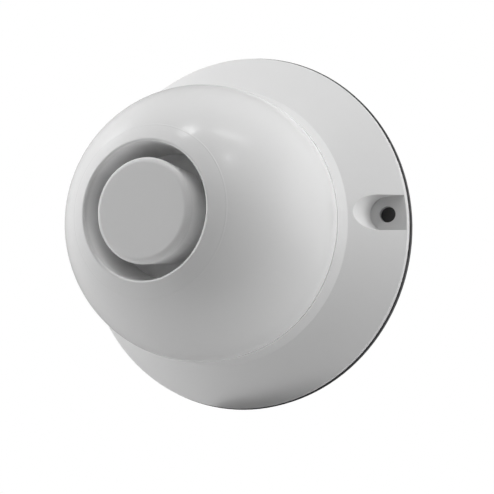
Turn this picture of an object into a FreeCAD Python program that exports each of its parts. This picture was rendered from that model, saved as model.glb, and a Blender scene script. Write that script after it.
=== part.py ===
import FreeCAD, Part
import math
import os

from FreeCAD import Vector

# A wall-mounted alarm sounder: a ball-shaped cover with a round mouth and a plug in it,
# snapped onto a conical housing that is screwed flat to the wall.
# The frame is +Z up and +X right, with the sounder facing -Y. The origin is the centre of
# the face that lies against the wall. A depth is a distance forward of that face, so a
# point at a depth d has y = -d. Angles go from +X towards +Z. All sizes are millimetres.

# Gasket against the wall
gasket_thickness = 1.7
gasket_overhang = 0.4
gasket_width = 12.0

# Housing, a flared skirt with a short collar
rim_radius = 51.9
rim_land = 1.5
rim_round = 1.0
flank_height = 14.5
corner_fillet = 0.5
collar_height = 3.2
collar_radius = 37.25
collar_flare = 1.65
collar_round = 0.1
collar_wall = 1.8
housing_wall = 2.2
rib_count = 8
rib_width = 1.6
chamber_wall = 1.8
chamber_inset = 0.1
notch_width = 4.7
notch_height = 1.0
notch_angle = -88.4

# Screw pockets at the left and right of the housing
pocket_inset = 5.5
pocket_radius = 4.8
pocket_floor = 1.9
pocket_wall = 1.8
pocket_lean = 8.0
wall_hole_radius = 2.2

# Snap fit between the cover and the housing
seam_gap = 0.03
catch_depth = 2.2
catch_step = 1.0
spigot_clearance = 0.2
spigot_wall = 1.5
spigot_reach = 2.0
hook_count = 3
hook_angle = 90.0
hook_width = 8.0
hook_reach = 4.8
barb_step = 0.7
barb_height = 1.6
barb_gap = 0.15
tab_width = 4.7
tab_slot = 0.6
tab_back_gap = 0.2

# Ball-shaped cover
ball_bulge = 0.1
ball_half_depth = 34.7
equator_rise = 4.4
cover_wall = 2.2
mouth_radius = 16.7
mouth_round = 0.5
well_length = 14.0
well_taper = 0.8
well_wall = 1.8

# Plug in the mouth, moulded with a floor that has sound ports round it
mouth_gap = 3.8
plug_taper = 0.9
plug_proud = 0.45
plug_round = 1.5
plug_wall = 1.6
plug_face = 2.0
floor_thickness = 2.0
port_count = 4
port_angle = 27.0
port_width = 7.0
port_inset = 0.6

# Piezo driver behind the plug
seal_thickness = 1.0
seal_width = 1.5
plate_thickness = 0.4
plate_clearance = 0.2
ceramic_radius = 12.5
ceramic_thickness = 0.4
cup_wall = 1.7
cup_seat = 2.0
cup_inside = 6.0
cup_floor = 1.8
lug_radius = 3.0
lug_thickness = 3.0
driver_screw_length = 10.0
vent_radius = 1.5

# Back plate with its grommet
cover_plate_thickness = 2.0
cover_plate_clearance = 0.3
plate_screw_inset = 2.3
plate_screw_angle = 30.0
plate_screw_count = 3
plate_boss_radius = 3.2
plate_boss_tip = 1.0
plate_screw_length = 7.0
grommet_hole_radius = 6.0
grommet_flange_radius = 8.2
grommet_flange = 1.4
grommet_bore_radius = 3.2
grommet_membrane = 0.8

# Circuit board on its posts
post_inset = 5.0
post_radius = 3.0
board_clearance = 3.0
board_headroom = 18.0
board_thickness = 1.6
board_cable_radius = 8.6
board_screw_length = 6.5

# Screws, by their thread radius
screw_radius = 1.3
screw_head_radius = 2.5
screw_head_height = 1.5
screw_clearance = 0.15
pilot_clearance = 0.05
pilot_overrun = 0.6
recess_width = 0.6
recess_length = 3.0
recess_depth = 0.7

# Parts on the board: their places (x, z), or how far inside its edge they sit, and sizes
terminal_inset = 7.5
terminal_length = 15.2
terminal_width = 8.0
terminal_height = 9.0
terminal_ways = 3
terminal_pitch = 5.0
terminal_entry = 3.4
terminal_floor = 1.0
terminal_screw_radius = 1.8
terminal_screw_height = 2.0
terminal_screw_recess = 1.0
socket_inset = 5.0
socket_width = 5.0
socket_length = 8.0
socket_height = 6.0
socket_key_width = 2.4
socket_key_depth = 0.8
socket_key_height = 4.0
capacitor_inset = 10.0
capacitor_radius = 4.0
capacitor_height = 8.5
capacitor_groove = 0.4
capacitor_groove_height = 2.0
capacitor_round = 0.5
coil_x = -12.5
coil_inset = 14.0
coil_radius = 5.0
coil_flange = 1.2
coil_hub_radius = 2.3
coil_height = 8.0
winding_inset = 0.6
chip_x = 12.0
chip_z = -16.0
chip_length = 9.6
chip_width = 6.4
chip_height = 3.2
chip_stand_off = 0.6
chip_pins = 4
chip_pitch = 2.54
chip_pin_width = 0.9
chip_pin_thickness = 0.4
chip_pin_root = 0.5
transistor_x = -11.5
transistor_z = 17.0
transistor_radius = 2.4
transistor_height = 4.8
transistor_flat = 1.2
transistor_lift = 2.0
transistor_pitch = 1.27
diode_x = 12.5
diode_z = 16.5
diode_radius = 1.4
diode_length = 5.2
resistor_x = -14.0
resistor_spacing = 4.5
resistor_count = 3
resistor_radius = 1.0
resistor_length = 4.4
axial_lift = 1.8
axial_reach = 1.5
disc_x = 5.0
disc_z = 12.0
disc_radius = 2.4
disc_thickness = 1.8
disc_lift = 1.4
pin_radius = 0.35

# Leads between the driver and the board
lead_radius = 0.4
lead_spacing = 2.8
lead_depth = 4.2
red_lead_x = -8.0
lead_window_margin = 0.7

# Radii of the outside that follow from the sizes above
gasket_radius = rim_radius + gasket_overhang
gasket_bore_radius = gasket_radius - gasket_width
pocket_position = rim_radius - pocket_inset
corner_radius = collar_radius + collar_flare
ball_radius = collar_radius + ball_bulge

# Depths that follow from the sizes above
back_depth = gasket_thickness
rim_top = back_depth + rim_land
corner_depth = back_depth + flank_height
seam_depth = corner_depth + collar_height
cover_edge = seam_depth + seam_gap
ball_depth = seam_depth + equator_rise
mouth_depth = ball_depth + ball_half_depth * math.sqrt(1 - (mouth_radius / ball_radius) ** 2)
well_back = mouth_depth - well_length
floor_back = well_back - floor_thickness
plug_front = mouth_depth + plug_proud
seal_back = floor_back - seal_thickness
plate_back = seal_back - plate_thickness
ceramic_back = plate_back - ceramic_thickness
cup_back = plate_back - cup_inside - cup_floor
cover_plate_front = back_depth + cover_plate_thickness
plate_screw_seat = back_depth + screw_head_height
plate_pilot_end = plate_screw_seat + plate_screw_length + pilot_overrun
driver_screw_seat = floor_back - lug_thickness
driver_pilot_end = driver_screw_seat + driver_screw_length + pilot_overrun
board_front = cup_back - board_headroom
board_back = board_front - board_thickness

# Radii of the inside that follow from the sizes above
collar_bore = collar_radius - collar_wall
catch_radius = collar_bore + catch_step
spigot_radius = collar_bore - spigot_clearance
spigot_bore = spigot_radius - spigot_wall
chamber_radius = pocket_position - pocket_radius - pocket_wall - chamber_inset
cover_plate_radius = chamber_radius - cover_plate_clearance
plate_screw_position = cover_plate_radius - plate_screw_inset
board_radius = plate_screw_position - plate_boss_radius - board_clearance
post_position = board_radius - post_inset
well_back_radius = mouth_radius - well_taper
plug_radius = mouth_radius - mouth_gap
plug_back_radius = plug_radius - plug_taper
plate_radius = well_back_radius + seal_width
cup_bore = plate_radius + plate_clearance
cup_radius = cup_bore + cup_wall
cup_inner_radius = cup_bore - cup_seat
lug_position = cup_radius + lug_radius

# Places on the board and the plate that follow from the sizes above
terminal_x = board_radius - terminal_inset
socket_x = socket_inset - board_radius
capacitor_z = board_radius - capacitor_inset
coil_z = coil_inset - board_radius
black_lead_x = -(ceramic_radius + cup_inner_radius) / 2

# Angles round the axis
pocket_angles = [0.0, 180.0]
plate_screw_angles = [plate_screw_angle + 360.0 * n / plate_screw_count for n in range(plate_screw_count)]
hook_angles = [hook_angle + 360.0 * n / hook_count for n in range(hook_count)]
port_angles = [port_angle + 360.0 * n / port_count for n in range(port_count)]

AXIS = Vector(0, 1, 0)
FORWARD = Vector(0, -1, 0)
ORIGIN = Vector(0, 0, 0)

# How far a cutting solid runs past what it cuts, and how near two equal sizes are
MARGIN = 2.0
TOLERANCE = 0.01

# A curve's points, where the inner ball's outline stops short of the pole, and a search's steps
CURVE_STEPS = 16
POLE_ANGLE = 89.0
HALVINGS = 60

# How much of the shorter run a lead's bend takes
BEND_SHARE = 0.45


def cylinder(radius, start, end, x=0.0, z=0.0):
    return Part.makeCylinder(radius, end - start, Vector(x, -start, z), FORWARD)


def ring(outer, inner, start, end):
    return cylinder(outer, start, end).cut(cylinder(inner, start - MARGIN, end + MARGIN))


def block(x0, x1, start, end, z0, z1):
    return Part.makeBox(x1 - x0, end - start, z1 - z0, Vector(x0, -end, z0))


def spun(outline):
    """The solid that a closed outline beside the axis sweeps in one turn."""
    solid = Part.Face(outline).revolve(ORIGIN, AXIS, 360)
    if solid.Volume < 0:
        solid.reverse()
    return solid


def turned(points):
    corners = [Vector(radius, -depth, 0) for radius, depth in points]
    return spun(Part.makePolygon(corners + corners[:1]))


def around(shape, angle):
    turned_copy = shape.copy()
    turned_copy.rotate(ORIGIN, AXIS, -angle)
    return turned_copy


def all_around(shape, angles):
    return [around(shape, angle) for angle in angles]


def polar(radius, angle):
    return radius * math.cos(math.radians(angle)), radius * math.sin(math.radians(angle))


def circle_edges(shape, radius, depth):
    found = []
    for edge in shape.Edges:
        curve = edge.Curve
        if isinstance(curve, Part.Circle):
            near_radius = abs(curve.Radius - radius) < TOLERANCE
            near_depth = abs(curve.Center.y + depth) < TOLERANCE
            if near_radius and near_depth:
                found.append(edge)
    return found


def rounded(shape, size, radius, depth):
    return shape.makeFillet(size, circle_edges(shape, radius, depth))


def ball_angle(shrink, depth):
    """The angle up from the ball's equator at a depth, on the surface one shrink inside it."""
    return math.asin((depth - ball_depth) / (ball_half_depth - shrink))


def ball_point(shrink, angle):
    across = (ball_radius - shrink) * math.cos(angle)
    return Vector(across, -(ball_depth + (ball_half_depth - shrink) * math.sin(angle)), 0)


def ball_curve(shrink, first, last):
    step = (last - first) / CURVE_STEPS
    curve = Part.BSplineCurve()
    curve.interpolate([ball_point(shrink, first + step * n) for n in range(CURVE_STEPS + 1)])
    return curve.toShape()


def ball(shrink, low_depth):
    """The ball's solid, one shrink smaller all round, from a depth up to near its front pole."""
    low = ball_angle(shrink, low_depth)
    high = math.radians(POLE_ANGLE)
    first = ball_point(shrink, low)
    last = ball_point(shrink, high)
    lines = Part.makePolygon([last, Vector(0, last.y, 0), Vector(0, first.y, 0), first]).Edges
    return spun(Part.Wire([ball_curve(shrink, low, high)] + lines))


def crossing(function, low, high):
    """The value between low and high where a rising function passes zero."""
    for _ in range(HALVINGS):
        middle = (low + high) / 2
        if function(middle) > 0:
            high = middle
        else:
            low = middle
    return (low + high) / 2


def screw(head_depth, length, facing, x, z):
    """A pan-head screw: its head sits on head_depth, facing is +1 for a head to the front."""
    shank_end = head_depth - facing * length
    head_end = head_depth + facing * screw_head_height
    shank = cylinder(screw_radius, min(head_depth, shank_end), max(head_depth, shank_end), x, z)
    head = cylinder(screw_head_radius, min(head_depth, head_end), max(head_depth, head_end), x, z)
    recess_start = head_end - facing * recess_depth
    low = min(recess_start, head_end + facing * MARGIN)
    high = max(recess_start, head_end + facing * MARGIN)
    arm = recess_length / 2
    half = recess_width / 2
    cross = block(x - arm, x + arm, low, high, z - half, z + half)
    cross = cross.fuse(block(x - half, x + half, low, high, z - arm, z + arm))
    return head.fuse(shank).removeSplitter().cut(cross)


def tube(points, radius):
    """A round wire through the points, with an arc at each bend as large as its runs allow."""
    edges = []
    start = points[0]
    for index in range(1, len(points) - 1):
        bend = points[index]
        incoming = bend - points[index - 1]
        outgoing = points[index + 1] - bend
        turn = incoming.getAngle(outgoing)
        reach = BEND_SHARE * min(incoming.Length, outgoing.Length)
        arc_radius = reach / math.tan(turn / 2)
        first = bend - incoming.normalize() * reach
        last = bend + outgoing.normalize() * reach
        inward = (outgoing - incoming).normalize()
        centre_distance = math.hypot(arc_radius, reach)
        middle = bend + inward * (centre_distance - arc_radius)
        edges.append(Part.LineSegment(start, first).toShape())
        edges.append(Part.Arc(first, middle, last).toShape())
        start = last
        print("lead bend radius", round(arc_radius, 2))
    edges.append(Part.LineSegment(start, points[-1]).toShape())
    path = Part.Wire(edges)
    direction = points[1] - points[0]
    section = Part.Wire(Part.makeCircle(radius, points[0], direction))
    return path.makePipeShell([section], True, True)


# Lines of the housing's section: the flank outside, and the same line one wall inside
flank_run = rim_radius - corner_radius
flank_drop = corner_depth - rim_top
flank_length = math.hypot(flank_run, flank_drop)
inner_corner_radius = corner_radius - housing_wall * flank_drop / flank_length
inner_corner_depth = corner_depth - housing_wall * flank_run / flank_length


def inner_flank_radius(depth):
    return inner_corner_radius + (inner_corner_depth - depth) * flank_run / flank_drop


def inner_flank_depth(radius):
    return inner_corner_depth - (radius - inner_corner_radius) * flank_drop / flank_run


def housing_outside():
    solid = turned([
        (0, back_depth),
        (rim_radius, back_depth),
        (rim_radius, rim_top),
        (corner_radius, corner_depth),
        (collar_radius, seam_depth),
        (0, seam_depth),
    ])
    solid = rounded(solid, rim_round, rim_radius, rim_top)
    solid = rounded(solid, corner_fillet, corner_radius, corner_depth)
    return rounded(solid, collar_round, collar_radius, seam_depth)


def housing_cavity():
    catch = seam_depth - catch_depth
    return turned([
        (0, back_depth - MARGIN),
        (inner_flank_radius(back_depth - MARGIN), back_depth - MARGIN),
        (catch_radius, inner_flank_depth(catch_radius)),
        (catch_radius, catch),
        (collar_bore, catch),
        (collar_bore, seam_depth + MARGIN),
        (0, seam_depth + MARGIN),
    ])


def housing_filling():
    """The space that ribs, bosses and pocket walls may fill: up to the middle of the wall."""
    half_wall = housing_wall / 2 * flank_length / flank_drop
    return turned([
        (0, back_depth),
        (inner_flank_radius(back_depth) + half_wall, back_depth),
        (inner_flank_radius(corner_depth) + half_wall, corner_depth),
        (0, corner_depth),
    ])


def pocket_prism(radius, start, end):
    """A U-shaped prism, open outwards, whose round end leans towards the axis as it rises."""
    lean = math.tan(math.radians(pocket_lean))
    shift = lean * (start - back_depth - pocket_floor)
    centre = pocket_position - shift
    outside = rim_radius + MARGIN + lean * (end - start)
    low = Vector(centre, -start, -radius)
    high = Vector(centre, -start, radius)
    tip = Vector(centre - radius, -start, 0)
    edges = [
        Part.Arc(low, tip, high).toShape(),
        Part.makeLine(high, Vector(outside, -start, radius)),
        Part.makeLine(Vector(outside, -start, radius), Vector(outside, -start, -radius)),
        Part.makeLine(Vector(outside, -start, -radius), low),
    ]
    rise = end - start
    return Part.Face(Part.Wire(edges)).extrude(Vector(-lean * rise, -rise, 0))


def make_base_housing():
    shell = housing_outside().cut(housing_cavity())
    top = corner_depth + MARGIN

    chamber = ring(chamber_radius + chamber_wall, chamber_radius, back_depth, top)
    rib_start = chamber_radius + chamber_wall / 2
    rib = block(rib_start, rim_radius + MARGIN, back_depth, top, -rib_width / 2, rib_width / 2)
    rib_angles = [360.0 * (n + 0.5) / rib_count for n in range(rib_count)]
    pocket_shell = pocket_prism(pocket_radius + pocket_wall, back_depth, top)
    bosses = []
    for angle in plate_screw_angles:
        x, z = polar(plate_screw_position, angle)
        boss_end = plate_pilot_end + plate_boss_tip
        bosses.append(cylinder(plate_boss_radius, cover_plate_front, boss_end, x, z))
    inside = [chamber] + all_around(rib, rib_angles) + all_around(pocket_shell, pocket_angles)
    inside = inside[0].fuse(inside[1:] + bosses).common(housing_filling())
    housing = shell.fuse(inside)

    pocket = pocket_prism(pocket_radius, back_depth + pocket_floor, top)
    wall_hole = cylinder(wall_hole_radius, back_depth - MARGIN, top, pocket_position)
    housing = housing.cut(all_around(pocket, pocket_angles) + all_around(wall_hole, pocket_angles))
    for angle in plate_screw_angles:
        x, z = polar(plate_screw_position, angle)
        pilot = cylinder(screw_radius + pilot_clearance, cover_plate_front - MARGIN, plate_pilot_end, x, z)
        housing = housing.cut(pilot)
    notch = block(rim_radius - 2 * housing_wall, rim_radius + MARGIN,
                  back_depth - MARGIN, back_depth + notch_height,
                  -notch_width / 2, notch_width / 2)
    return housing.cut(around(notch, notch_angle)).removeSplitter()


def make_wall_gasket():
    return ring(gasket_radius, gasket_bore_radius, 0, gasket_thickness)


def make_back_plate():
    plate = cylinder(cover_plate_radius, back_depth, cover_plate_front)
    posts = []
    for angle in plate_screw_angles:
        x, z = polar(post_position, angle)
        posts.append(cylinder(post_radius, back_depth, board_back, x, z))
    plate = plate.fuse(posts)
    holes = [cylinder(grommet_hole_radius, back_depth - MARGIN, board_back)]
    for angle in plate_screw_angles:
        x, z = polar(plate_screw_position, angle)
        clear = screw_radius + screw_clearance
        holes.append(cylinder(clear, back_depth - MARGIN, cover_plate_front + MARGIN, x, z))
        head_clear = screw_head_radius + screw_clearance
        holes.append(cylinder(head_clear, back_depth - MARGIN, plate_screw_seat, x, z))
        x, z = polar(post_position, angle)
        pilot_start = board_front - board_screw_length - pilot_overrun
        holes.append(cylinder(screw_radius + pilot_clearance, pilot_start, board_back + MARGIN, x, z))
    return plate.cut(holes).removeSplitter()


def make_back_plate_screws():
    screws = []
    for angle in plate_screw_angles:
        x, z = polar(plate_screw_position, angle)
        screws.append(screw(plate_screw_seat, plate_screw_length, -1, x, z))
    return Part.makeCompound(screws)


def make_cable_grommet():
    rear = back_depth - grommet_flange
    front = cover_plate_front + grommet_flange
    sleeve = grommet_hole_radius
    body = turned([
        (0, rear),
        (grommet_flange_radius, rear),
        (grommet_flange_radius, back_depth),
        (sleeve, back_depth),
        (sleeve, cover_plate_front),
        (grommet_flange_radius, cover_plate_front),
        (grommet_flange_radius, front),
        (0, front),
    ])
    middle = (rear + front) / 2
    body = body.cut(cylinder(grommet_bore_radius, rear - MARGIN, middle - grommet_membrane / 2))
    return body.cut(cylinder(grommet_bore_radius, middle + grommet_membrane / 2, front + MARGIN))


def make_circuit_board():
    board = cylinder(board_radius, board_back, board_front)
    holes = [cylinder(board_cable_radius, board_back - MARGIN, board_front + MARGIN)]
    for angle in plate_screw_angles:
        x, z = polar(post_position, angle)
        clear = screw_radius + screw_clearance
        holes.append(cylinder(clear, board_back - MARGIN, board_front + MARGIN, x, z))
    return board.cut(holes)


def make_board_screws():
    screws = []
    for angle in plate_screw_angles:
        x, z = polar(post_position, angle)
        screws.append(screw(board_front, board_screw_length, 1, x, z))
    return Part.makeCompound(screws)


def terminal_places():
    middle = (terminal_ways - 1) / 2
    return [(n - middle) * terminal_pitch for n in range(terminal_ways)]


def make_terminal_block():
    half = terminal_width / 2
    top = board_front + terminal_height
    body = block(terminal_x - half, terminal_x + half, board_front, top,
                 -terminal_length / 2, terminal_length / 2)
    cuts = []
    shaft_end = top - terminal_screw_recess - terminal_screw_height
    shaft_radius = terminal_screw_radius + screw_clearance
    for z in terminal_places():
        cuts.append(cylinder(shaft_radius, shaft_end, top + MARGIN, terminal_x, z))
        low = board_front + terminal_floor
        cuts.append(block(terminal_x, terminal_x + half + MARGIN, low, low + terminal_entry,
                          z - terminal_entry / 2, z + terminal_entry / 2))
    return body.cut(cuts)


def make_terminal_screws():
    top = board_front + terminal_height - terminal_screw_recess
    screws = []
    for z in terminal_places():
        body = cylinder(terminal_screw_radius, top - terminal_screw_height, top, terminal_x, z)
        slot = block(terminal_x - terminal_width, terminal_x + terminal_width,
                     top - recess_depth, top + MARGIN, z - recess_width / 2, z + recess_width / 2)
        screws.append(body.cut(slot))
    return Part.makeCompound(screws)


def make_lead_socket():
    side = socket_x - socket_width / 2
    half = socket_length / 2
    top = board_front + socket_height
    body = block(side, side + socket_width, board_front, top, -half, half)
    key = block(side - MARGIN, side + socket_key_depth, top - socket_key_height, top + MARGIN,
                -socket_key_width / 2, socket_key_width / 2)
    return body.cut(key)


def make_smoothing_capacitor():
    top = board_front + capacitor_height
    groove_depth = board_front + capacitor_groove_height
    neck = capacitor_radius - capacitor_groove
    body = turned([
        (0, board_front),
        (capacitor_radius, board_front),
        (capacitor_radius, groove_depth - capacitor_groove),
        (neck, groove_depth),
        (capacitor_radius, groove_depth + capacitor_groove),
        (capacitor_radius, top),
        (0, top),
    ])
    body = rounded(body, capacitor_round, capacitor_radius, top)
    body.translate(Vector(0, 0, capacitor_z))
    return body


def make_coil_core():
    top = board_front + coil_height
    core = turned([
        (0, board_front),
        (coil_radius, board_front),
        (coil_radius, board_front + coil_flange),
        (coil_hub_radius, board_front + coil_flange),
        (coil_hub_radius, top - coil_flange),
        (coil_radius, top - coil_flange),
        (coil_radius, top),
        (0, top),
    ])
    core.translate(Vector(coil_x, 0, coil_z))
    return core


def make_coil_winding():
    low = board_front + coil_flange
    high = board_front + coil_height - coil_flange
    winding = ring(coil_radius - winding_inset, coil_hub_radius, low, high)
    winding.translate(Vector(coil_x, 0, coil_z))
    return winding


def make_control_chip():
    low = board_front + chip_stand_off
    half_length = chip_length / 2
    half_width = chip_width / 2
    body = block(-half_length, half_length, low, low + chip_height, -half_width, half_width)
    pins = []
    pin_top = low + chip_height / 2
    pin_low = pin_top - chip_pin_thickness
    inner = half_width - chip_pin_root
    outer = half_width + chip_pin_thickness
    for n in range(chip_pins):
        x = (n - (chip_pins - 1) / 2) * chip_pitch
        x0 = x - chip_pin_width / 2
        x1 = x + chip_pin_width / 2
        for side in (-1, 1):
            z0, z1 = sorted((side * inner, side * outer))
            pins.append(block(x0, x1, pin_low, pin_top, z0, z1))
            z0, z1 = sorted((side * half_width, side * outer))
            pins.append(block(x0, x1, board_front, pin_top, z0, z1))
    chip = body.fuse(pins).removeSplitter()
    chip.translate(Vector(chip_x, 0, chip_z))
    return chip


def make_drive_transistor():
    low = board_front + transistor_lift
    body = cylinder(transistor_radius, low, low + transistor_height)
    flat = block(-MARGIN * 2, MARGIN * 2, low - MARGIN, low + transistor_height + MARGIN,
                 transistor_flat, transistor_radius + MARGIN)
    body = body.cut(flat)
    pins = [cylinder(pin_radius, board_front, low + pin_radius, n * transistor_pitch) for n in (-1, 0, 1)]
    body = body.fuse(pins)
    body.translate(Vector(transistor_x, 0, transistor_z))
    return body


def axial_part(radius, length, x, z):
    """A round body lying along X above the board, with a leg bent down at each end."""
    height = board_front + axial_lift
    body = Part.makeCylinder(radius, length, Vector(x - length / 2, -height, z), Vector(1, 0, 0))
    legs = []
    for side in (-1, 1):
        end = x + side * (length / 2 + axial_reach)
        reach = length / 2 + axial_reach
        legs.append(Part.makeCylinder(pin_radius, reach, Vector(x, -height, z), Vector(side, 0, 0)))
        legs.append(cylinder(pin_radius, board_front, height, end, z))
        legs.append(Part.makeSphere(pin_radius, Vector(end, -height, z)))
    return body.fuse(legs)


def make_rectifier_diode():
    return axial_part(diode_radius, diode_length, diode_x, diode_z)


def make_resistors():
    middle = (resistor_count - 1) / 2
    places = [(n - middle) * resistor_spacing for n in range(resistor_count)]
    return Part.makeCompound([axial_part(resistor_radius, resistor_length, resistor_x, z) for z in places])


def make_disc_capacitors():
    parts = []
    for side in (-1, 1):
        x = side * disc_x
        centre = board_front + disc_lift + disc_radius
        start = Vector(x - disc_thickness / 2, -centre, disc_z)
        body = Part.makeCylinder(disc_radius, disc_thickness, start, Vector(1, 0, 0))
        leg_offset = disc_radius / 2
        legs = [cylinder(pin_radius, board_front, centre, x, disc_z + s * leg_offset) for s in (-1, 1)]
        parts.append(body.fuse(legs))
    return Part.makeCompound(parts)


def hook():
    """One snap hook of the cover, at angle 0, with its barb behind the collar's catch."""
    top = seam_depth - spigot_reach
    reach = spigot_radius + MARGIN
    strip = block(spigot_bore - MARGIN, reach, seam_depth - hook_reach, top + MARGIN,
                  -hook_width / 2, hook_width / 2)
    arm = ring(spigot_radius, spigot_bore, seam_depth - hook_reach, top + MARGIN / 2)
    barb_top = seam_depth - catch_depth - barb_gap
    barb = ring(spigot_radius + barb_step, spigot_bore, barb_top - barb_height, barb_top)
    return arm.fuse(barb).common(strip)


def well_radius(depth):
    return mouth_radius - (mouth_depth - depth) * (mouth_radius - well_back_radius) / well_length


def ball_normal(angle):
    return Vector(math.cos(angle) / ball_radius, -math.sin(angle) / ball_half_depth, 0).normalize()


def cover_outline():
    """Half of the cover's section: ball, rounded lip, well, inside of the ball and spigot."""
    def lip_miss(angle):
        centre = ball_point(0, angle) - ball_normal(angle) * mouth_round
        return mouth_radius + mouth_round - centre.x

    def well_miss(angle):
        point = ball_point(cover_wall, angle)
        return well_radius(-point.y) + well_wall - point.x

    lip_angle = crossing(lip_miss, 0, math.pi / 2)
    lip_end = ball_point(0, lip_angle)
    lip_centre = lip_end - ball_normal(lip_angle) * mouth_round
    lip_start = lip_centre - Vector(mouth_round, 0, 0)
    lip_middle = lip_centre + (ball_normal(lip_angle) + Vector(-1, 0, 0)).normalize() * mouth_round
    edge_angle = ball_angle(0, cover_edge)
    well_angle = crossing(well_miss, 0, math.pi / 2)
    ledge = cover_edge + spigot_wall
    ledge_angle = ball_angle(cover_wall, ledge)
    well_corners = [
        lip_start,
        Vector(well_back_radius, -well_back, 0),
        Vector(well_back_radius + well_wall, -well_back, 0),
        ball_point(cover_wall, well_angle),
    ]
    spigot_corners = [
        ball_point(cover_wall, ledge_angle),
        Vector(spigot_bore, -ledge, 0),
        Vector(spigot_bore, spigot_reach - seam_depth, 0),
        Vector(spigot_radius, spigot_reach - seam_depth, 0),
        Vector(spigot_radius, -cover_edge, 0),
        ball_point(0, edge_angle),
    ]
    edges = [ball_curve(0, edge_angle, lip_angle), Part.Arc(lip_end, lip_middle, lip_start).toShape()]
    edges += Part.makePolygon(well_corners).Edges
    edges += [ball_curve(cover_wall, well_angle, ledge_angle)]
    edges += Part.makePolygon(spigot_corners).Edges
    return Part.Wire(edges)


def make_ball_cover():
    cover = spun(cover_outline())
    bosses = []
    cuts = []
    for angle in hook_angles:
        x, z = polar(lug_position, angle)
        bosses.append(cylinder(lug_radius, well_back, ball_depth + ball_half_depth, x, z))
        cuts.append(cylinder(screw_radius + pilot_clearance, well_back - MARGIN, driver_pilot_end, x, z))
    bosses = bosses[0].fuse(bosses[1:]).common(ball(cover_wall / 2, cover_edge))
    cover = cover.fuse([bosses] + all_around(hook(), hook_angles))
    for side in (-1, 1):
        x = side * tab_width / 2
        half = tab_slot / 2
        cuts.append(block(x - half, x + half, cover_edge - MARGIN / 2, cover_edge + tab_slot,
                          spigot_radius + tab_back_gap, ball_radius + MARGIN))
    return cover.cut(cuts).removeSplitter()


def make_lug(start, end):
    """A screw lug at angle 0 beside the driver, joined to the ring inside it."""
    lug = cylinder(lug_radius, start, end, lug_position)
    web = block(cup_radius - cup_wall, lug_position, start, end, -lug_radius, lug_radius)
    return lug.fuse(web).cut(cylinder(cup_bore, start - MARGIN, end + MARGIN))


def make_phase_plug():
    plug = turned([
        (0, plug_front),
        (plug_radius, plug_front),
        (plug_back_radius, floor_back),
        (plug_back_radius - plug_wall, floor_back),
        (plug_radius - plug_wall, plug_front - plug_face),
        (0, plug_front - plug_face),
    ])
    plug = rounded(plug, plug_round, plug_radius, plug_front)
    floor = ring(cup_radius, plug_back_radius - plug_wall / 2, floor_back, well_back)
    lugs = all_around(make_lug(floor_back, well_back), hook_angles)
    low = floor_back - MARGIN
    high = well_back + MARGIN
    port = ring(well_back_radius - port_inset, plug_back_radius + port_inset, low, high)
    port = port.common(block(0, cup_radius, low, high, -port_width / 2, port_width / 2))
    holes = all_around(port, port_angles)
    for angle in hook_angles:
        x, z = polar(lug_position, angle)
        clear = screw_radius + screw_clearance
        holes.append(cylinder(clear, low, high, x, z))
    return plug.fuse([floor] + lugs).cut(holes).removeSplitter()


def make_driver_seal():
    return ring(plate_radius, well_back_radius, seal_back, floor_back)


def make_piezo_plate():
    return cylinder(plate_radius, plate_back, seal_back)


def make_piezo_ceramic():
    return cylinder(ceramic_radius, ceramic_back, plate_back)


def make_driver_cup():
    cup = turned([
        (0, cup_back),
        (cup_radius, cup_back),
        (cup_radius, floor_back),
        (cup_bore, floor_back),
        (cup_bore, plate_back),
        (cup_inner_radius, plate_back),
        (cup_inner_radius, cup_back + cup_floor),
        (0, cup_back + cup_floor),
    ])
    lugs = all_around(make_lug(floor_back - lug_thickness, floor_back), hook_angles)
    holes = [cylinder(vent_radius, cup_back - MARGIN, cup_back + cup_floor + MARGIN)]
    for angle in hook_angles:
        x, z = polar(lug_position, angle)
        clear = screw_radius + screw_clearance
        holes.append(cylinder(clear, floor_back - lug_thickness - MARGIN, floor_back + MARGIN, x, z))
    lead_centre = plate_back - lead_depth
    window = lead_radius + lead_window_margin
    half = lead_spacing / 2 + window
    holes.append(block(-cup_radius - MARGIN, -cup_inner_radius + MARGIN,
                       lead_centre - window, lead_centre + window, -half, half))
    return cup.fuse(lugs).cut(holes).removeSplitter()


def make_driver_screws():
    screws = []
    for angle in hook_angles:
        x, z = polar(lug_position, angle)
        screws.append(screw(driver_screw_seat, driver_screw_length, -1, x, z))
    return Part.makeCompound(screws)


def make_lead(start_x, start_depth, z):
    run_depth = plate_back - lead_depth
    points = [
        Vector(start_x, -start_depth, z),
        Vector(start_x, -run_depth, z),
        Vector(socket_x, -run_depth, z),
        Vector(socket_x, -(board_front + socket_height), z),
    ]
    return tube(points, lead_radius)


nodes = {
    "wall_gasket": make_wall_gasket(),
    "base_housing": make_base_housing(),
    "back_plate": make_back_plate(),
    "back_plate_screws": make_back_plate_screws(),
    "cable_grommet": make_cable_grommet(),
    "circuit_board": make_circuit_board(),
    "board_screws": make_board_screws(),
    "terminal_block": make_terminal_block(),
    "terminal_screws": make_terminal_screws(),
    "lead_socket": make_lead_socket(),
    "smoothing_capacitor": make_smoothing_capacitor(),
    "coil_core": make_coil_core(),
    "coil_winding": make_coil_winding(),
    "control_chip": make_control_chip(),
    "drive_transistor": make_drive_transistor(),
    "rectifier_diode": make_rectifier_diode(),
    "resistors": make_resistors(),
    "disc_capacitors": make_disc_capacitors(),
    "ball_cover": make_ball_cover(),
    "phase_plug": make_phase_plug(),
    "driver_seal": make_driver_seal(),
    "piezo_plate": make_piezo_plate(),
    "piezo_ceramic": make_piezo_ceramic(),
    "driver_cup": make_driver_cup(),
    "driver_screws": make_driver_screws(),
    "red_lead": make_lead(red_lead_x, ceramic_back, lead_spacing / 2),
    "black_lead": make_lead(black_lead_x, plate_back, -lead_spacing / 2),
}

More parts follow.
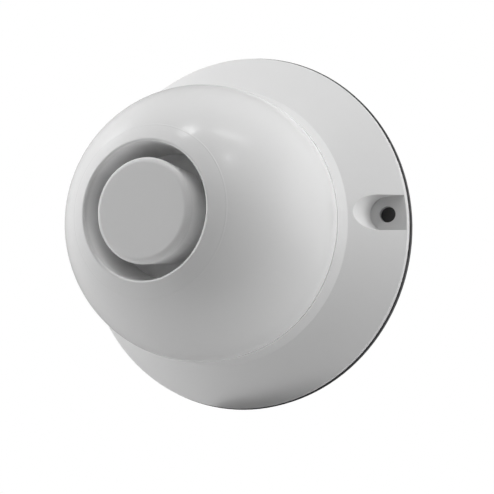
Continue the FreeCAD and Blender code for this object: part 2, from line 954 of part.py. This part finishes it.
os.makedirs("parts", exist_ok=True)
for name, shape in nodes.items():
    print(name, len(shape.Solids), "solids", round(shape.Volume, 1), "mm3", shape.isValid())
    shape.exportStep("parts/" + name + ".step")
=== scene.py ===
import math

import bpy
from mathutils import Matrix, Vector

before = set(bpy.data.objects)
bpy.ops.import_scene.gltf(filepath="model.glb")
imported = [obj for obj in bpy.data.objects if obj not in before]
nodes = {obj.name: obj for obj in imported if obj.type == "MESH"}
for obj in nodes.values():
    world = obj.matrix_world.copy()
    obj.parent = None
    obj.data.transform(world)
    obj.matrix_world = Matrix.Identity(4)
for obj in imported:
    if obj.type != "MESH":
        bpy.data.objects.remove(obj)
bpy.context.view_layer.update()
print("frame loaded:", len(nodes), "nodes")

white = (1.0, 1.0, 1.0, 1.0)


def grey(level):
    return (level, level, level)


# Small helpers for node trees

def addNode(tree, kind, **values):
    node = tree.nodes.new(kind)
    for name, value in values.items():
        setattr(node, name, value)
    return node


def feed(tree, source, target):
    tree.links.new(source, target)


def mathNode(tree, operation, first, second=None, clamp=False):
    node = addNode(tree, "ShaderNodeMath", operation=operation, use_clamp=clamp)
    for socket, value in zip(node.inputs, (first, second)):
        if value is None:
            continue
        if isinstance(value, (int, float)):
            socket.default_value = value
        else:
            feed(tree, value, socket)
    return node.outputs[0]


def rangeNode(tree, value, fromLow, fromHigh, toLow, toHigh, smooth=True):
    node = addNode(tree, "ShaderNodeMapRange")
    node.interpolation_type = "SMOOTHSTEP" if smooth else "LINEAR"
    feed(tree, value, node.inputs["Value"])
    node.inputs["From Min"].default_value = fromLow
    node.inputs["From Max"].default_value = fromHigh
    node.inputs["To Min"].default_value = toLow
    node.inputs["To Max"].default_value = toHigh
    return node.outputs["Result"]


def noiseNode(tree, place, scale, detail, roughness=0.5):
    node = addNode(tree, "ShaderNodeTexNoise")
    node.inputs["Detail"].default_value = detail
    node.inputs["Roughness"].default_value = roughness
    feed(tree, scale, node.inputs["Scale"])
    feed(tree, place, node.inputs["Vector"])
    return node.outputs["Fac"]


def placeOn(tree):
    return addNode(tree, "ShaderNodeTexCoord").outputs["Object"]


def radiusAndDepth(tree):
    # a point's distance from the sounder's axis, and its place along it
    split = addNode(tree, "ShaderNodeSeparateXYZ")
    feed(tree, placeOn(tree), split.inputs[0])
    across = mathNode(tree, "MULTIPLY", split.outputs["X"], split.outputs["X"])
    upward = mathNode(tree, "MULTIPLY", split.outputs["Z"], split.outputs["Z"])
    radius = mathNode(tree, "SQRT", mathNode(tree, "ADD", across, upward))
    return radius, split.outputs["Y"]


def mixColours(tree, mask, plain, masked):
    mix = addNode(tree, "ShaderNodeMix", data_type="RGBA")
    plainSocket, maskedSocket, resultSocket = mix.inputs[6], mix.inputs[7], mix.outputs[2]
    feed(tree, mask, mix.inputs["Factor"])
    plainSocket.default_value = (*plain, 1.0)
    maskedSocket.default_value = (*masked, 1.0)
    return resultSocket


def newGroup(name, inputs, outputs):
    tree = bpy.data.node_groups.new(name, "ShaderNodeTree")
    for label, kind, default in inputs:
        socket = tree.interface.new_socket(name=label, in_out="INPUT", socket_type=kind)
        socket.default_value = default
    for label, kind in outputs:
        tree.interface.new_socket(name=label, in_out="OUTPUT", socket_type=kind)
    start = tree.nodes.new("NodeGroupInput")
    end = tree.nodes.new("NodeGroupOutput")
    return tree, start.outputs, end.inputs


def useGroup(tree, group, **values):
    node = addNode(tree, "ShaderNodeGroup", node_tree=group)
    for name, value in values.items():
        node.inputs[name].default_value = value
    return node


# Shared effects

def makeShadeDrift():
    # a moulded or painted colour is never quite even: slow clouds, and fine specks
    tree, given, result = newGroup(
        "shadeDrift",
        [
            ("Colour", "NodeSocketColor", (0.8, 0.8, 0.8, 1.0)),
            ("Cloud", "NodeSocketFloat", 0.02),
            ("Speck", "NodeSocketFloat", 0.01),
            ("CloudScale", "NodeSocketFloat", 30.0),
            ("SpeckScale", "NodeSocketFloat", 2500.0),
        ],
        [("Colour", "NodeSocketColor")],
    )
    place = placeOn(tree)
    cloud = noiseNode(tree, place, given["CloudScale"], detail=2.0)
    speck = noiseNode(tree, place, given["SpeckScale"], detail=2.0)
    cloudPart = mathNode(tree, "MULTIPLY", mathNode(tree, "SUBTRACT", cloud, 0.5), given["Cloud"])
    speckPart = mathNode(tree, "MULTIPLY", mathNode(tree, "SUBTRACT", speck, 0.5), given["Speck"])
    shade = mathNode(tree, "ADD", 1.0, mathNode(tree, "ADD", cloudPart, speckPart))
    scaled = addNode(tree, "ShaderNodeVectorMath", operation="SCALE")
    feed(tree, given["Colour"], scaled.inputs[0])
    feed(tree, shade, scaled.inputs["Scale"])
    feed(tree, scaled.outputs["Vector"], result["Colour"])
    return tree


def makeMouldSkin():
    # the fine skin that a mould leaves: shallow grain with a slight waviness under it
    tree, given, result = newGroup(
        "mouldSkin",
        [
            ("GrainScale", "NodeSocketFloat", 6000.0),
            ("WaveScale", "NodeSocketFloat", 120.0),
            ("WaveShare", "NodeSocketFloat", 0.5),
            ("RoughLow", "NodeSocketFloat", 0.3),
            ("RoughHigh", "NodeSocketFloat", 0.4),
        ],
        [("Height", "NodeSocketFloat"), ("Roughness", "NodeSocketFloat")],
    )
    place = placeOn(tree)
    grain = noiseNode(tree, place, given["GrainScale"], detail=2.0)
    wave = noiseNode(tree, place, given["WaveScale"], detail=1.0)
    height = mathNode(tree, "ADD", grain, mathNode(tree, "MULTIPLY", wave, given["WaveShare"]))
    feed(tree, height, result["Height"])
    span = mathNode(tree, "SUBTRACT", given["RoughHigh"], given["RoughLow"])
    rough = mathNode(tree, "ADD", given["RoughLow"], mathNode(tree, "MULTIPLY", grain, span))
    feed(tree, rough, result["Roughness"])
    return tree


markLength = 25.0  # times as long as wide


def makeTurnedMarks():
    # fine marks drawn out along the sounder's axis, as on turned, drawn or rolled metal
    tree, given, result = newGroup(
        "turnedMarks",
        [
            ("Scale", "NodeSocketFloat", 3000.0),
            ("Strength", "NodeSocketFloat", 1.0),
        ],
        [("Height", "NodeSocketFloat"), ("Mask", "NodeSocketFloat")],
    )
    stretch = addNode(tree, "ShaderNodeMapping")
    stretch.inputs["Scale"].default_value = (1.0, 1.0 / markLength, 1.0)
    feed(tree, placeOn(tree), stretch.inputs["Vector"])
    marks = noiseNode(tree, stretch.outputs["Vector"], given["Scale"], detail=3.0, roughness=0.7)
    feed(tree, mathNode(tree, "MULTIPLY", marks, given["Strength"]), result["Height"])
    feed(tree, marks, result["Mask"])
    return tree


def makeMouthPaintedLight():
    # painted light on the walls of the mouth, a paler colour where their shade falls: inside its radius,
    # and more and more from its lip backwards
    tree, given, result = newGroup(
        "mouthPaintedLight",
        [
            ("Radius", "NodeSocketFloat", 0.0172),
            ("LipStart", "NodeSocketFloat", -0.0546),
            ("LipEnd", "NodeSocketFloat", -0.0530),
        ],
        [("Mask", "NodeSocketFloat")],
    )
    radius, depth = radiusAndDepth(tree)
    inside = mathNode(tree, "LESS_THAN", radius, given["Radius"])
    behind = mathNode(tree, "SUBTRACT", depth, given["LipStart"])
    span = mathNode(tree, "SUBTRACT", given["LipEnd"], given["LipStart"])
    ramp = mathNode(tree, "DIVIDE", behind, span, clamp=True)
    feed(tree, mathNode(tree, "MULTIPLY", inside, ramp), result["Mask"])
    return tree


def makeSeamPaintedLight():
    # painted light on the narrow ledge of the collar that the ball's edge lies on, a paler colour where
    # its shade falls
    tree, given, result = newGroup(
        "seamPaintedLight",
        [
            ("Radius", "NodeSocketFloat", 0.0374),
            ("Front", "NodeSocketFloat", -0.0196),
            ("Back", "NodeSocketFloat", -0.0193),
        ],
        [("Mask", "NodeSocketFloat")],
    )
    radius, depth = radiusAndDepth(tree)
    inside = mathNode(tree, "LESS_THAN", radius, given["Radius"])
    behind = mathNode(tree, "GREATER_THAN", depth, given["Front"])
    before = mathNode(tree, "LESS_THAN", depth, given["Back"])
    ledge = mathNode(tree, "MULTIPLY", behind, before)
    feed(tree, mathNode(tree, "MULTIPLY", inside, ledge), result["Mask"])
    return tree


shadeDrift = makeShadeDrift()
mouldSkin = makeMouldSkin()
turnedMarks = makeTurnedMarks()
mouthPaintedLight = makeMouthPaintedLight()
seamPaintedLight = makeSeamPaintedLight()
print("shared effects made")


# Materials: what every plastic and metal has unless its own look says otherwise, sizes in metres
plasticLook = {
    "cloud": 0.02,
    "speck": 0.015,
    "grainScale": 6000.0,
    "bumpHeight": 0.001,
}
plasticIndex = 1.5  # how much the clear top of a plastic bends light
metalLook = {
    "cloud": 0.08,
    "speck": 0.08,
    "bumpHeight": 0.00002,
}


def newMaterial(name, **settings):
    material = bpy.data.materials.new(name)
    material.use_nodes = True
    tree = material.node_tree
    shader = tree.nodes["Principled BSDF"]
    for label, value in settings.items():
        shader.inputs[label].default_value = value
    return material, tree, shader


def addBump(tree, shader, height, distance):
    bump = addNode(tree, "ShaderNodeBump")
    bump.inputs["Distance"].default_value = distance
    feed(tree, height, bump.inputs["Height"])
    feed(tree, bump.outputs["Normal"], shader.inputs["Normal"])


def mouldedPlastic(name, ownLook, extraHeight=None):
    look = {**plasticLook, **ownLook}
    material, tree, shader = newMaterial(name, IOR=plasticIndex)
    shade = useGroup(tree, shadeDrift, Colour=(*look["colour"], 1.0), Cloud=look["cloud"],
                     Speck=look["speck"])
    # painted light: where the mask says, the colour is mixed towards a paler one that lightens the shade
    # there
    if "paintedLight" in look:
        group, paintedLightColour = look["paintedLight"]
        mask = useGroup(tree, group).outputs["Mask"]
        feed(tree, mixColours(tree, mask, look["colour"], paintedLightColour), shade.inputs["Colour"])
    feed(tree, shade.outputs["Colour"], shader.inputs["Base Color"])
    roughLow, roughHigh = look["roughness"]
    skin = useGroup(tree, mouldSkin, GrainScale=look["grainScale"], RoughLow=roughLow, RoughHigh=roughHigh)
    feed(tree, skin.outputs["Roughness"], shader.inputs["Roughness"])
    height = mathNode(tree, "MULTIPLY", skin.outputs["Height"], look["grain"])
    if extraHeight:
        height = mathNode(tree, "ADD", height, extraHeight(tree))
    addBump(tree, shader, height, look["bumpHeight"])
    return material


def turnedMetal(name, ownLook):
    look = {**metalLook, **ownLook}
    material, tree, shader = newMaterial(name, Metallic=1.0)
    shade = useGroup(tree, shadeDrift, Colour=(*look["colour"], 1.0), Cloud=look["cloud"],
                     Speck=look["speck"])
    feed(tree, shade.outputs["Colour"], shader.inputs["Base Color"])
    marks = useGroup(tree, turnedMarks)
    roughLow, roughHigh = look["roughness"]
    rough = rangeNode(tree, marks.outputs["Mask"], 0.0, 1.0, roughLow, roughHigh, smooth=False)
    feed(tree, rough, shader.inputs["Roughness"])
    addBump(tree, shader, marks.outputs["Height"], look["bumpHeight"])
    return material


# Outer plastics. The cover has the witness line that the mould's insert leaves round the mouth.
# The mouth's walls and the collar's ledge get painted light, a colour paler than the plastic, so that the
# gap round the plug and the seam show less shade.
coverLook = {
    "colour": grey(0.735),
    # painted light: a paler colour on the walls of the mouth
    "paintedLight": (mouthPaintedLight, grey(0.965)),
    "roughness": (0.18, 0.22),
    "grain": 0.004,
}
plugLook = {
    "colour": grey(0.712),
    # painted light: a paler colour on the plug's side inside the mouth
    "paintedLight": (mouthPaintedLight, grey(0.965)),
    "roughness": (0.34, 0.42),
    "grain": 0.004,
}
housingLook = {
    "colour": grey(0.72),
    # painted light: a paler colour on the collar's ledge under the ball's edge
    "paintedLight": (seamPaintedLight, grey(0.98)),
    "roughness": (0.40, 0.48),
    "grain": 0.008,
}
witness = {"radius": 0.02104, "halfWidth": 0.00022, "height": 0.03, "inFrontOf": -0.035}


def witnessLine(tree):
    radius, depth = radiusAndDepth(tree)
    away = mathNode(tree, "ABSOLUTE", mathNode(tree, "SUBTRACT", radius, witness["radius"]))
    line = rangeNode(tree, away, 0.0, witness["halfWidth"], witness["height"], 0.0)
    front = mathNode(tree, "LESS_THAN", depth, witness["inFrontOf"])
    return mathNode(tree, "MULTIPLY", line, front)


made = {
    "coverPlastic": mouldedPlastic("coverPlastic", coverLook, witnessLine),
    "plugPlastic": mouldedPlastic("plugPlastic", plugLook),
    "housingPlastic": mouldedPlastic("housingPlastic", housingLook),
}

# Inner plastics, rubber, coatings and ceramics
innerLooks = {
    "innerPlastic": {"colour": (0.60, 0.60, 0.59), "roughness": (0.42, 0.52), "grain": 0.01},
    "gasketRubber": {"colour": (0.07, 0.07, 0.072), "roughness": (0.75, 0.9), "grain": 0.04,
                     "grainScale": 2500.0, "speck": 0.3},
    "boardLaminate": {"colour": (0.03, 0.19, 0.07), "roughness": (0.2, 0.35), "grain": 0.01,
                      "grainScale": 1500.0, "cloud": 0.15, "speck": 0.1},
    "terminalPlastic": {"colour": (0.08, 0.22, 0.46), "roughness": (0.35, 0.45), "grain": 0.01},
    "socketPlastic": {"colour": (0.78, 0.74, 0.62), "roughness": (0.4, 0.5), "grain": 0.01},
    "sleevePlastic": {"colour": (0.03, 0.04, 0.07), "roughness": (0.22, 0.3), "grain": 0.005},
    "ferrite": {"colour": (0.07, 0.07, 0.07), "roughness": (0.55, 0.7), "grain": 0.03, "speck": 0.3},
    "blackEpoxy": {"colour": (0.025, 0.025, 0.027), "roughness": (0.45, 0.6), "grain": 0.015},
    "resistorCoating": {"colour": (0.60, 0.47, 0.29), "roughness": (0.3, 0.4), "grain": 0.01},
    "discCoating": {"colour": (0.66, 0.33, 0.07), "roughness": (0.25, 0.35), "grain": 0.02},
    "piezoCeramic": {"colour": (0.76, 0.75, 0.70), "roughness": (0.35, 0.5), "grain": 0.01},
    "redInsulation": {"colour": (0.50, 0.03, 0.02), "roughness": (0.3, 0.4), "grain": 0.005},
    "blackInsulation": {"colour": (0.02, 0.02, 0.02), "roughness": (0.3, 0.4), "grain": 0.005},
}
for name, look in innerLooks.items():
    made[name] = mouldedPlastic(name, look)

metalLooks = {
    "screwSteel": {"colour": (0.62, 0.62, 0.60), "roughness": (0.25, 0.45)},
    "copperWire": {"colour": (0.60, 0.24, 0.10), "roughness": (0.3, 0.45)},
    "piezoAlloy": {"colour": (0.40, 0.385, 0.35), "roughness": (0.38, 0.52)},
}
for name, look in metalLooks.items():
    made[name] = turnedMetal(name, look)

finishes = {
    # the wall gasket is black rubber, and its dark ring round the back of the rim also stands in for
    # painted shadow that the sounder casts on the wall behind it
    "wall_gasket": "gasketRubber",
    "base_housing": "housingPlastic",
    "back_plate": "innerPlastic",
    "back_plate_screws": "screwSteel",
    "cable_grommet": "gasketRubber",
    "circuit_board": "boardLaminate",
    "board_screws": "screwSteel",
    "terminal_block": "terminalPlastic",
    "terminal_screws": "screwSteel",
    "lead_socket": "socketPlastic",
    "smoothing_capacitor": "sleevePlastic",
    "coil_core": "ferrite",
    "coil_winding": "copperWire",
    "control_chip": "blackEpoxy",
    "drive_transistor": "blackEpoxy",
    "rectifier_diode": "blackEpoxy",
    "resistors": "resistorCoating",
    "disc_capacitors": "discCoating",
    "ball_cover": "coverPlastic",
    "phase_plug": "plugPlastic",
    "driver_seal": "gasketRubber",
    "piezo_plate": "piezoAlloy",
    "piezo_ceramic": "piezoCeramic",
    "driver_cup": "innerPlastic",
    "driver_screws": "screwSteel",
    "red_lead": "redInsulation",
    "black_lead": "blackInsulation",
}
for name, finish in finishes.items():
    mesh = nodes[name].data
    mesh.materials.clear()
    mesh.materials.append(made[finish])
print("finishes given:", len(finishes))


# Camera, from the photograph's viewing angle: angles in degrees, lens and sensor in millimetres
view = {
    "yaw": 23.64,
    "below": 6.16,
    "roll": -2.87,
    "distance": 0.23539,
    "aim": (0.00263, 0.0, -0.00473),
    "lens": 57.61,
    "sensor": 36.0,
    "nearest": 0.01,
}


def makeCamera():
    yaw = math.radians(view["yaw"])
    below = math.radians(view["below"])
    roll = math.radians(view["roll"])
    back = Vector((math.sin(yaw) * math.cos(below), -math.cos(yaw) * math.cos(below), -math.sin(below)))
    level = Vector((math.cos(yaw), math.sin(yaw), 0.0))
    upright = back.cross(level)
    right = level * math.cos(roll) + upright * math.sin(roll)
    up = upright * math.cos(roll) - level * math.sin(roll)
    data = bpy.data.cameras.new("photoCamera")
    data.lens = view["lens"]
    data.sensor_width = view["sensor"]
    data.clip_start = view["nearest"]
    camera = bpy.data.objects.new("photoCamera", data)
    turn = Matrix((right, up, back)).transposed().to_4x4()
    camera.matrix_world = Matrix.Translation(Vector(view["aim"]) + back * view["distance"]) @ turn
    bpy.context.scene.collection.objects.link(camera)
    bpy.context.scene.camera = camera


makeCamera()


# Studio: soft round lamps, each by its direction from the sounder and its share of the light
lampLook = {
    "centre": (0.0, -0.025, 0.0),
    "distance": 0.7,
    "radius": 0.28,
    "watts": 6.7,  # for a share of 1
}
lamps = {
    "right": {"towards": (0.95, 0.22, 0.12), "share": 0.558},
    "overRight": {"towards": (0.28, -0.36, 0.89), "share": 0.247},
    "overhead": {"towards": (-0.22, -0.20, 0.95), "share": 0.267},
    "leftHigh": {"towards": (-0.66, -0.22, 0.70), "share": 0.086},
    "leftFront": {"towards": (-0.78, -0.55, 0.30), "share": 0.109},
    "left": {"towards": (-0.94, -0.12, 0.27), "share": 0.381},
    "lowLeftFront": {"towards": (-0.50, -0.41, -0.77), "share": 0.209},
    "lowLeft": {"towards": (-0.79, -0.10, -0.61), "share": 0.032},
    "lowRight": {"towards": (0.80, 0.25, -0.52), "share": 0.011},
    "behind": {"towards": (0.10, 0.97, 0.22), "share": 0.25},
}


def addLamp(name, shape, place, turn, energy):
    data = bpy.data.lights.new(name, "AREA")
    data.shape = shape
    data.energy = energy
    item = bpy.data.objects.new(name, data)
    item.matrix_world = Matrix.Translation(place) @ turn.to_4x4()
    bpy.context.scene.collection.objects.link(item)
    return item


def makeLamps():
    for name, lamp in lamps.items():
        towards = Vector(lamp["towards"]).normalized()
        place = Vector(lampLook["centre"]) + towards * lampLook["distance"]
        turn = towards.to_track_quat("Z", "Y").to_matrix()
        item = addLamp(name, "DISK", place, turn, lampLook["watts"] * lamp["share"])
        item.data.size = 2 * lampLook["radius"]
        item.visible_glossy = False


makeLamps()


# Glints: narrow lamps that only the gloss shows, each between two directions from a spot on the ball
glints = {
    "glintMiddle": {"spot": (0.0120, -0.0521, 0.0180), "first": (-0.069, -0.412, 0.908),
                    "last": (0.076, -0.327, 0.942), "wide": 0.05, "level": 14.0},
    "glintRight": {"spot": (0.0208, -0.0482, 0.0165), "first": (0.232, -0.293, 0.928),
                   "last": (0.569, -0.133, 0.811), "wide": 0.035, "level": 6.5},
    "glintLow": {"spot": (0.0213, -0.0507, 0.0103), "first": (0.502, -0.516, 0.695),
                 "last": (0.578, -0.482, 0.659), "wide": 0.03, "level": 17.0},
    "glintLeft": {"spot": (-0.0094, -0.0513, 0.0208), "first": (-0.807, 0.128, 0.576),
                  "last": (-0.607, 0.021, 0.794), "wide": 0.06, "level": 2.0},
}


def makeGlints():
    for name, glint in glints.items():
        first = Vector(glint["first"]).normalized()
        last = Vector(glint["last"]).normalized()
        towards = (first + last).normalized()
        along = (last - first).normalized()
        turn = Matrix((along, towards.cross(along), towards)).transposed()
        length = (last - first).length * lampLook["distance"]
        energy = math.pi * length * glint["wide"] * glint["level"]
        place = Vector(glint["spot"]) + towards * lampLook["distance"]
        item = addLamp(name, "RECTANGLE", place, turn, energy)
        item.data.size = length
        item.data.size_y = glint["wide"]
        item.visible_diffuse = False


makeGlints()


# White surround: the camera sees plain white, the fill lights the sounder weakly, and the gloss
# reflects soft zones, each by its direction, its angles in degrees and what it adds to the gloss
surround = {"fill": 0.175, "seen": 1.0, "gloss": 0.292}
zones = {
    "behindCamera": {"towards": (0.46, -0.80, -0.38), "inner": 14.0, "outer": 52.0, "adds": -1.0},
    "ceiling": {"towards": (0.20, -0.30, 0.93), "inner": 10.0, "outer": 60.0, "adds": 0.27},
    "table": {"towards": (0.05, -0.34, -0.94), "inner": 18.0, "outer": 55.0, "adds": 0.35},
    "rightSide": {"towards": (0.92, -0.20, 0.30), "inner": 5.0, "outer": 45.0, "adds": 0.12},
    "rightRear": {"towards": (0.75, 0.60, 0.25), "inner": 5.0, "outer": 45.0, "adds": 0.54},
    "leftSide": {"towards": (-0.90, 0.10, 0.40), "inner": 5.0, "outer": 45.0, "adds": 0.44},
}


def makeWorld():
    world = bpy.data.worlds.new("surround")
    bpy.context.scene.world = world
    world.use_nodes = True
    tree = world.node_tree
    background = tree.nodes["Background"]
    background.inputs["Color"].default_value = white
    direction = addNode(tree, "ShaderNodeTexCoord").outputs["Generated"]
    gloss = surround["gloss"]
    for zone in zones.values():
        dot = addNode(tree, "ShaderNodeVectorMath", operation="DOT_PRODUCT")
        feed(tree, direction, dot.inputs[0])
        dot.inputs[1].default_value = Vector(zone["towards"]).normalized()
        outer = math.cos(math.radians(zone["outer"]))
        inner = math.cos(math.radians(zone["inner"]))
        added = rangeNode(tree, dot.outputs["Value"], outer, inner, 0.0, zone["adds"])
        gloss = mathNode(tree, "ADD", added, gloss)
    gloss = mathNode(tree, "MAXIMUM", gloss, 0.0)
    path = addNode(tree, "ShaderNodeLightPath")
    seen = mathNode(tree, "MAXIMUM", path.outputs["Is Camera Ray"], path.outputs["Is Transmission Ray"])
    plain = rangeNode(tree, seen, 0.0, 1.0, surround["fill"], surround["seen"], smooth=False)
    isGloss = path.outputs["Is Glossy Ray"]
    kept = mathNode(tree, "MULTIPLY", plain, mathNode(tree, "SUBTRACT", 1.0, isGloss))
    strength = mathNode(tree, "ADD", kept, mathNode(tree, "MULTIPLY", gloss, isGloss))
    feed(tree, strength, background.inputs["Strength"])


makeWorld()


# Pale floor well below the sounder, which fades into the white surround. Its lift is what the
# camera sees besides its light, so that it stays pale.
floorLook = {
    "place": (0.0, 0.0, -1.0),
    "radius": 1.6,
    "corners": 96,
    "fadeStart": 0.7,
    "fadeEnd": 1.5,
    "colour": 0.86,
    "lift": 0.42,
    "roughness": 0.9,
}


def addDisc(name, halfWidth, halfDepth, corners, place, material):
    points = []
    for index in range(corners):
        angle = 2 * math.pi * index / corners
        points.append((halfWidth * math.cos(angle), halfDepth * math.sin(angle), 0.0))
    mesh = bpy.data.meshes.new(name)
    mesh.from_pydata(points, [], [list(range(corners))])
    mesh.materials.append(material)
    disc = bpy.data.objects.new(name, mesh)
    disc.location = place
    disc.visible_glossy = False
    bpy.context.scene.collection.objects.link(disc)
    return disc


def makeFloorPaper():
    material, tree, shader = newMaterial("floorPaper", Roughness=floorLook["roughness"])
    shader.inputs["Base Color"].default_value = (*grey(floorLook["colour"]), 1.0)
    shader.inputs["Emission Color"].default_value = white
    path = addNode(tree, "ShaderNodeLightPath")
    lift = mathNode(tree, "MULTIPLY", path.outputs["Is Camera Ray"], floorLook["lift"])
    feed(tree, lift, shader.inputs["Emission Strength"])
    clear = addNode(tree, "ShaderNodeBsdfTransparent")
    mix = addNode(tree, "ShaderNodeMixShader")
    length = addNode(tree, "ShaderNodeVectorMath", operation="LENGTH")
    feed(tree, placeOn(tree), length.inputs[0])
    fade = rangeNode(tree, length.outputs["Value"], floorLook["fadeStart"], floorLook["fadeEnd"], 0.0, 1.0)
    feed(tree, fade, mix.inputs["Fac"])
    feed(tree, shader.outputs["BSDF"], mix.inputs[1])
    feed(tree, clear.outputs["BSDF"], mix.inputs[2])
    feed(tree, mix.outputs["Shader"], tree.nodes["Material Output"].inputs["Surface"])
    return material


addDisc("floor", floorLook["radius"], floorLook["radius"], floorLook["corners"], floorLook["place"],
        makeFloorPaper())


# Flag: a small grey card under the lowest point of the rim, which shades it as a table top would
flagLook = {
    "place": (0.009, -0.004, -0.0542),
    "halfWidth": 0.020,
    "halfDepth": 0.0068,
    "corners": 48,
    "colour": 0.45,
    "roughness": 0.9,
}


def makeFlagCard():
    material, tree, shader = newMaterial("flagCard", Roughness=flagLook["roughness"])
    shader.inputs["Base Color"].default_value = (*grey(flagLook["colour"]), 1.0)
    return material


flag = addDisc("flag", flagLook["halfWidth"], flagLook["halfDepth"], flagLook["corners"],
               flagLook["place"], makeFlagCard())
flag.visible_camera = False

bpy.context.scene.view_settings.view_transform = "Standard"
print("camera, lamps, floor and flag made")
